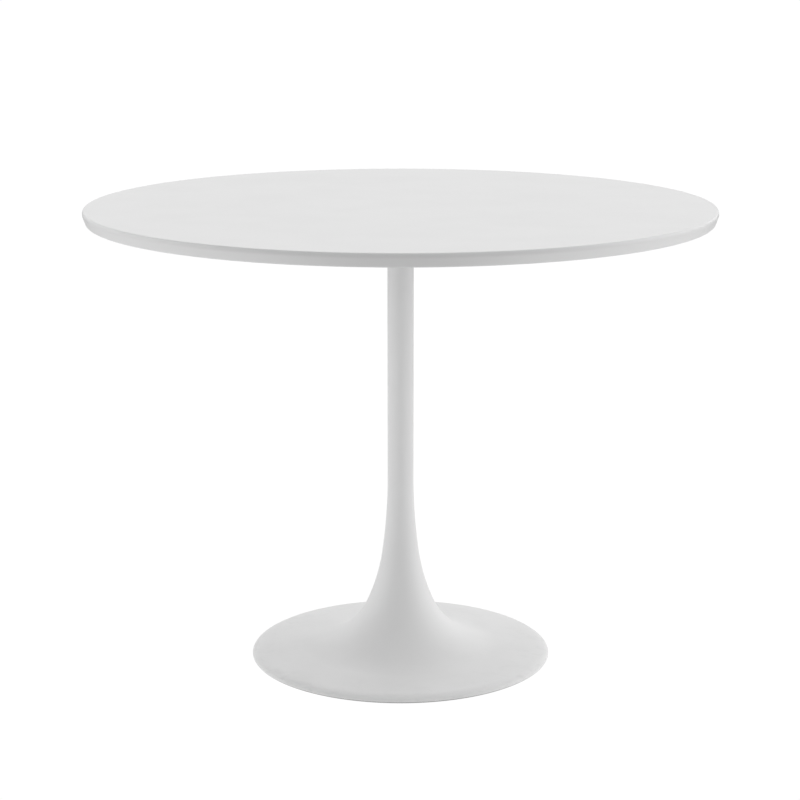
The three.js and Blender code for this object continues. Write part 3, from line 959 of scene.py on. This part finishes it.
def insert_brass():
    """Turned brass: lathe rings, and a brown tarnish in slow patches."""
    material, tree, shader, place_ = finish("insert_brass", metallic=1.0)
    skin = skin_of(tree, place_, 0.4 * MM, 5 * MM)
    rings = rings_of(tree, 0.12 * MM)
    color = mixed(tree, skin["Patches"], (0.78, 0.57, 0.24, 1), (0.52, 0.36, 0.15, 1))
    color = tinted(tree, color, [(rings, 0.2, (0.4, 0.28, 0.12, 1))])
    roughness = total(tree, 0.26, [(rings, 0.14), (skin["Patches"], 0.14)])
    normal = relief(tree, [(rings, 0.008 * MM), (skin["Height"], 0.003 * MM)])
    feed(tree, shader, color, roughness, normal)
    return material


def moulded_nylon():
    """Grey moulded nylon: an eroded mould texture, and a sole scuffed pale by the floor."""
    material, tree, shader, place_ = finish("moulded_nylon")
    skin = skin_of(tree, place_, 0.45 * MM, 8 * MM)
    marks = use(tree, HANDLING_MARKS, {"Vector": place_, "Size": 0.012})
    wear = wear_of(tree, place_, 2 * MM)
    height = add(tree, "SeparateXYZ", {0: place_}).outputs["Z"]
    sole = between(tree, height, 0.05 * MM, 0.5 * MM, 1.0, 0.0)
    rubbed = calc(tree, "MULTIPLY", sole, marks["Smears"])
    color = mixed(tree, skin["Patches"], (0.26, 0.265, 0.27, 1), (0.31, 0.315, 0.32, 1))
    color = tinted(tree, color, [(rubbed, 0.5, 0.42), (wear, 0.3, 0.4)])
    roughness = total(tree, 0.5, [(skin["Height"], 0.08), (rubbed, 0.2), (marks["Hairlines"], 0.1)])
    normal = relief(tree, [(skin["Height"], 0.02 * MM), (marks["Hairlines"], -0.01 * MM)])
    feed(tree, shader, color, roughness, normal)
    return material


LACQUER = white_lacquer()
POWDER = white_powder_coat()
CAST_IRON = casting_paint()
ZINC = zinc_plate()
BRASS = insert_brass()
NYLON = moulded_nylon()

# ------------------------------------------------------------------ assembly

GLIDE_BODIES = [body for body in frame["bodies"] if body.startswith("glide_")]

place("tabletop_lacquered", top_mesh(), LACQUER, "top_lacquer", "tabletop")
place_each("threaded_insert", [insert_grid()], BRASS, "insert_brass", INSERTS)
place("top_plate", plate_mesh(), POWDER, "pedestal_powder_coat", "support_plate")
place("column_spigot", hub_mesh(), ZINC, "zinc_plated_steel", "plate_hub")
small_ring = ring_grid(WASHERS[0], WASHER_BORE, 0.25 * MM)
place_each("flat_washer", [small_ring], ZINC, "zinc_plated_steel", WASHERS)
place_each("button_screw", [screw_grid()], ZINC, "zinc_plated_steel", SCREWS)

place("column", column_mesh(), POWDER, "pedestal_powder_coat", "column_tube")
place("flared_foot", base_mesh(), POWDER, "pedestal_powder_coat", "flared_base")
place("ballast", casting_mesh(), CAST_IRON, "casting_paint", "ballast_casting")

place("clamp_rod", rod_mesh(), ZINC, "zinc_plated_steel", "tie_rod")
clamp_ring = solid("broad_washer", [ring_grid("clamp_washer", CLAMP_BORE, 0.35 * MM)])
place("broad_washer", clamp_ring, ZINC, "zinc_plated_steel", "clamp_washer")
place("split_washer", split_ring_mesh(), ZINC, "zinc_plated_steel", "spring_washer")
place("hexagon_nut", nut_mesh(), ZINC, "zinc_plated_steel", "clamp_nut")

place_each("foot_pad", [pad_grid()], NYLON, "glide_nylon", GLIDE_PADS, GLIDE_BODIES)
place_each("foot_stud", [stud_grid()], ZINC, "zinc_plated_steel", GLIDE_STUDS, GLIDE_BODIES)

# ------------------------------------------------------------------ studio

SEEN = 1.02  # how bright the floor and the surround look, a little past white
# How much light it throws back: close to the foot; then in a middle ring and beyond it, each at
# the sides, in front, behind, and what is added towards the two front corners.
FLOOR_NEAR = 0.8
FLOOR_MIDDLE = (0.817, 0.148, 0.555, 1.269)
FLOOR_BEYOND = (0.664, 0.0, 0.076, 0.13)
# The floor's rings change over these distances from the column.
FIRST_CHANGE, SECOND_CHANGE = (0.45, 0.85), (1.2, 2.4)
# How far inside the rim the shade under the disc is full, and where it ends; how open it is there.
SHADE_REACH, SHADE_END, SHADE_OPEN = 5 * MM, 1 * MM, 0.08
FLOOR_REACH = 60.0


def seen(tree, shown, lit):
    """One value where the camera looks straight at a surface, another where it only gives light."""
    direct = add(tree, "LightPath").outputs["Is Camera Ray"]
    return between(tree, direct, 0.0, 1.0, lit, shown, kind="LINEAR")


def open_floor(tree, distance):
    """How open the floor is to the light: dark under the disc, fully open from just inside its rim."""
    full, end = BASE_RADIUS - SHADE_REACH, BASE_RADIUS - SHADE_END
    return between(tree, distance, full, end, SHADE_OPEN, 1.0, kind="LINEAR")


def floor_light(tree, place_, distance):
    """The floor's light: even close to the foot, and in each of the two rings round that a sum over
    the bearing: its sine squared at the sides, its cosine squared in front and behind, and four
    times their product towards the front corners."""
    bearing = add(tree, "VectorMath", {0: place_}, operation="NORMALIZE").outputs[0]
    parts = add(tree, "SeparateXYZ", {0: bearing}).outputs
    front, back = calc(tree, "MINIMUM", parts["Y"], 0.0), calc(tree, "MAXIMUM", parts["Y"], 0.0)
    shares = [calc(tree, "MULTIPLY", part, part) for part in (parts["X"], front, back)]
    shares.append(calc(tree, "MULTIPLY", calc(tree, "MULTIPLY", *shares[:2]), 4.0))
    rings = []
    for strengths in (FLOOR_MIDDLE, FLOOR_BEYOND):
        glow = 0.0
        for share, strength in zip(shares, strengths):
            glow = calc(tree, "MULTIPLY_ADD", share, strength, glow)
        rings.append(glow)
    away, beyond = [between(tree, distance, *change) for change in (FIRST_CHANGE, SECOND_CHANGE)]
    far = add(tree, "Mix", {0: beyond, 2: rings[0], 3: rings[1]}, data_type="FLOAT").outputs[0]
    return add(tree, "Mix", {0: away, 2: FLOOR_NEAR, 3: far}, data_type="FLOAT").outputs[0]


def studio_floor():
    """A wide pale floor that glows, as a lit white sweep does, except in the shade of the foot."""
    near, far = -FLOOR_REACH, FLOOR_REACH
    corners = [(near, near, 0), (far, near, 0), (far, far, 0), (near, far, 0)]
    mesh = bpy.data.meshes.new("studio_floor")
    mesh.from_pydata(corners, [], [(0, 1, 2, 3)])
    floor = bpy.data.objects.new("studio_floor", mesh)
    bpy.context.scene.collection.objects.link(floor)
    material, tree, shader, place_ = finish("pale_floor")
    shader["Base Color"].default_value = (0, 0, 0, 1)
    shader["Roughness"].default_value = 1.0
    shader["Specular IOR Level"].default_value = 0.0
    shader["Emission Color"].default_value = (1, 1, 1, 1)
    distance = add(tree, "VectorMath", {0: place_}, operation="LENGTH").outputs["Value"]
    lit = floor_light(tree, place_, distance)
    glow = calc(tree, "MULTIPLY", seen(tree, SEEN, lit), open_floor(tree, distance))
    tree.links.new(glow, shader["Emission Strength"])
    mesh.materials.append(material)


def studio_light(even, lamps):
    """A soft white surround: an even glow, and wide soft lamps that are each brightest in one
    direction and fall off as a power of the cosine of the angle away from it."""
    world = bpy.data.worlds.new("studio_surround")
    world.use_nodes = True
    bpy.context.scene.world = world
    tree = world.node_tree
    background = tree.nodes["Background"].inputs
    background["Color"].default_value = (1, 1, 1, 1)
    towards = add(tree, "TexCoord").outputs["Generated"]
    glow = even
    for direction, power, strength in lamps:
        inputs = {0: towards, 1: Vector(direction).normalized()}
        facing = add(tree, "VectorMath", inputs, operation="DOT_PRODUCT").outputs["Value"]
        spread = calc(tree, "POWER", calc(tree, "MAXIMUM", facing, 0.0), power)
        glow = calc(tree, "MULTIPLY_ADD", spread, strength, glow)
    tree.links.new(seen(tree, SEEN, glow), background["Strength"])


CAMERA_PLACE, CAMERA_PITCH = (-0.0009, -3.331, 1.1854), np.radians(12.82)
LENS_MM, SENSOR_MM = 94.97, 36


def studio_camera():
    """A long lens in front of the table, a little above it, pitched down."""
    data = bpy.data.cameras.new("camera")
    data.lens, data.sensor_width = LENS_MM, SENSOR_MM
    camera = bpy.data.objects.new("camera", data)
    camera.location = CAMERA_PLACE
    camera.rotation_euler = (np.pi / 2 - CAMERA_PITCH, 0, 0)
    bpy.context.scene.collection.objects.link(camera)
    bpy.context.scene.camera = camera


studio_floor()
studio_light(even=0.208, lamps=[
    ((1, 0, 1), 3, 0.562),
    ((0, 1, 1), 3, 1.082),
    ((1, 0, 0), 6, 1.776),
    ((-1, 0, 0), 6, 1.524),
    ((-1, 0, 0.05), 20, 0.558),
    ((0, -1, 0), 6, 0.277),
    ((1, 1, 0), 6, 0.759),
    ((-1, 1, 0), 6, 0.58),
    ((-1, -1, 0), 6, 0.628),
    ((1, -1, 0), 6, 0.164),
])
studio_camera()
bpy.context.scene.view_settings.view_transform = "Standard"
